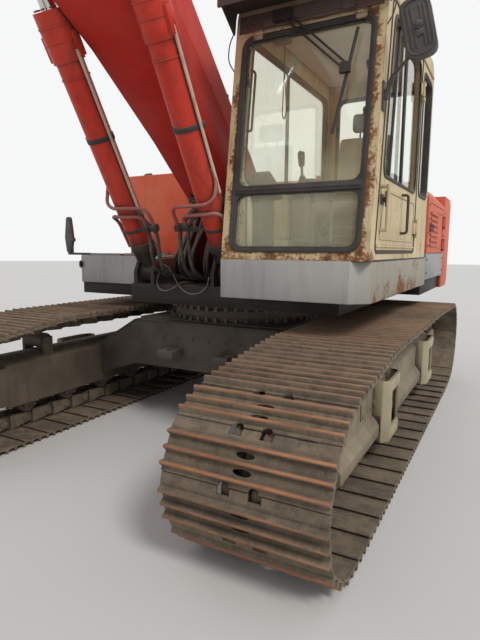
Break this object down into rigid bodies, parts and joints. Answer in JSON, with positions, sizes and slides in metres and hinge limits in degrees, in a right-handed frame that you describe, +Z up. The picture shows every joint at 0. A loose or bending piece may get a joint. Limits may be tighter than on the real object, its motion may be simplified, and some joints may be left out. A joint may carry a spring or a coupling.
{
  "type": "crawler excavator",
  "caption": "Crawler excavator with a slewing house, a cab, a hollow boom and stick moved by cylinders, and a bucket on a linkage.",
  "frame": {"origin": "bottom centre of the bounding box, on the ground", "axes": "+Z up, the front of the machine is -Y, the cab side (driver's left) is +X"},
  "size_m": [3.4935, 9.6877, 4.4712],
  "materials": {
    "red_paint": "faded red paint, chipped and rusty",
    "orange_paint": "faded orange-red paint",
    "cream_paint": "cream cab paint with rust spots",
    "grey_paint": "warm grey paint, dusty",
    "frame_paint": "khaki paint under dry mud",
    "dark_paint": "dark sooty paint",
    "track_steel": "worn track steel with rusty lugs",
    "worn_steel": "worn bucket steel",
    "chrome_rod": "polished cylinder rod",
    "rubber": "black rubber",
    "window_glass": "dusty greenish glass",
    "seat_cloth": "black seat cloth",
    "trim_plastic": "dark grey plastic"
  },
  "bodies": {
    "undercarriage": {"carbody": "frame_paint", "slew_ring_lower": "track_steel", "track_frame_left": "frame_paint", "track_frame_right": "frame_paint", "steps": "frame_paint", "track_left": "track_steel", "track_right": "track_steel", "idlers": "track_steel", "sprockets": "track_steel", "rollers": "track_steel"},
    "house": {"slew_ring_upper": "track_steel", "revolving_frame": "red_paint", "cab_base": "grey_paint", "right_deck": "grey_paint", "fuel_tank": "orange_paint", "house_shell": "orange_paint", "engine_block": "dark_paint", "counterweight": "orange_paint", "exhaust": "dark_paint", "cab_shell": "cream_paint", "cab_glass": "window_glass", "window_seals": "rubber", "seat": "seat_cloth", "console": "trim_plastic", "visor": "grey_paint", "wiper": "dark_paint", "mirror_left": "trim_plastic", "mirror_right": "trim_plastic"},
    "boom": {"boom": "red_paint"},
    "boom_barrel_left": {"boom_barrel_left": "orange_paint"},
    "boom_rod_left": {"boom_rod_left": "chrome_rod"},
    "boom_barrel_right": {"boom_barrel_right": "orange_paint"},
    "boom_rod_right": {"boom_rod_right": "chrome_rod"},
    "stick": {"stick": "red_paint"},
    "stick_barrel": {"stick_barrel": "orange_paint"},
    "stick_rod": {"stick_rod": "chrome_rod"},
    "bucket": {"bucket": "worn_steel"},
    "bucket_barrel": {"bucket_barrel": "orange_paint"},
    "bucket_rod": {"bucket_rod": "chrome_rod"},
    "rocker": {"rocker": "red_paint"},
    "bucket_link": {"bucket_link": "red_paint"},
    "cab_door": {"cab_door": "cream_paint", "door_glass": "window_glass"},
    "hood": {"hood": "orange_paint"},
    "service_door_left": {"service_door_left": "orange_paint"},
    "service_door_right": {"service_door_right": "orange_paint"}
  },
  "joints": [
    {"name": "slew", "type": "hinge", "parent": "undercarriage", "child": "house", "pos_m": [0, 1.74384, 0.978], "axis": [0, 0, 1], "continuous": true},
    {"name": "boom_lift", "type": "hinge", "parent": "house", "child": "boom", "pos_m": [0, 1.64384, 1.72], "axis": [-1, 0, 0], "range_deg": [-33, 36]},
    {"name": "boom_barrel_left_swing", "type": "hinge", "parent": "house", "child": "boom_barrel_left", "pos_m": [0.37, 0.81384, 1.3123], "axis": [-1, 0, 0], "range_deg": [-34.28, 37.39]},
    {"name": "boom_rod_left_slide", "type": "slide", "parent": "boom_barrel_left", "child": "boom_rod_left", "axis": [0, -0.5113, 0.8594], "range_m": [-0.507, 0.553]},
    {"name": "boom_barrel_right_swing", "type": "hinge", "parent": "house", "child": "boom_barrel_right", "pos_m": [-0.37, 0.81384, 1.3123], "axis": [-1, 0, 0], "range_deg": [-34.28, 37.39]},
    {"name": "boom_rod_right_slide", "type": "slide", "parent": "boom_barrel_right", "child": "boom_rod_right", "axis": [0, -0.5113, 0.8594], "range_m": [-0.507, 0.553]},
    {"name": "stick_swing", "type": "hinge", "parent": "boom", "child": "stick", "pos_m": [0, -4.23016, 3.766], "axis": [1, 0, 0], "range_deg": [-75, 30]},
    {"name": "stick_barrel_swing", "type": "hinge", "parent": "boom", "child": "stick_barrel", "pos_m": [0, -1.20616, 4.33], "axis": [1, 0, 0], "range_deg": [-5.95, 2.38]},
    {"name": "stick_rod_slide", "type": "slide", "parent": "stick_barrel", "child": "stick_rod", "axis": [0, -0.9999, 0.0136], "range_m": [-0.914, 0.366]},
    {"name": "bucket_curl", "type": "hinge", "parent": "stick", "child": "bucket", "pos_m": [0, -3.85607, 1.05973], "axis": [1, 0, 0], "range_deg": [-52, 95]},
    {"name": "rocker_swing", "type": "hinge", "parent": "stick", "child": "rocker", "pos_m": [0, -4.02436, 1.46652], "axis": [1, 0, 0], "range_deg": [-41.86, 76.47]},
    {"name": "bucket_link_swing", "type": "hinge", "parent": "rocker", "child": "bucket_link", "pos_m": [0, -4.58436, 1.45552], "axis": [1, 0, 0], "range_deg": [-57.52, 31.48]},
    {"name": "bucket_barrel_swing", "type": "hinge", "parent": "stick", "child": "bucket_barrel", "pos_m": [0, -4.58399, 3.33146], "axis": [1, 0, 0], "range_deg": [-2.96, 5.41]},
    {"name": "bucket_rod_slide", "type": "slide", "parent": "bucket_barrel", "child": "bucket_rod", "axis": [0, -0.0002, -1], "range_m": [-0.348, 0.636]},
    {"name": "cab_door_swing", "type": "hinge", "parent": "house", "child": "cab_door", "pos_m": [1.516, 1.86384, 1.6], "axis": [0, 0, 1], "range_deg": [0, 165]},
    {"name": "hood_lift", "type": "hinge", "parent": "house", "child": "hood", "pos_m": [0, 2.71984, 2.2603], "axis": [1, 0, 0], "range_deg": [0, 60]},
    {"name": "service_door_left_swing", "type": "hinge", "parent": "house", "child": "service_door_left", "pos_m": [1.516, 3.78384, 1.8], "axis": [0, 0, -1], "range_deg": [-100, 0]},
    {"name": "service_door_right_swing", "type": "hinge", "parent": "house", "child": "service_door_right", "pos_m": [-1.516, 3.78384, 1.8], "axis": [0, 0, 1], "range_deg": [-100, 0]}
  ],
  "couplings": [
    {"joint": "boom_barrel_left_swing", "follows": "boom_lift", "ratio": 1.0183},
    {"joint": "boom_rod_left_slide", "follows": "boom_lift", "m_per_rad": 0.86205},
    {"joint": "boom_barrel_right_swing", "follows": "boom_lift", "ratio": 1.0183},
    {"joint": "boom_rod_right_slide", "follows": "boom_lift", "m_per_rad": 0.86205},
    {"joint": "stick_barrel_swing", "follows": "stick_swing", "ratio": 0.077712},
    {"joint": "stick_rod_slide", "follows": "stick_swing", "m_per_rad": 0.68409},
    {"joint": "rocker_swing", "follows": "bucket_curl", "ratio": 0.78916},
    {"joint": "bucket_link_swing", "follows": "bucket_curl", "ratio": -0.59358},
    {"joint": "bucket_barrel_swing", "follows": "bucket_curl", "ratio": 0.055847},
    {"joint": "bucket_rod_slide", "follows": "bucket_curl", "m_per_rad": 0.37532}
  ]
}
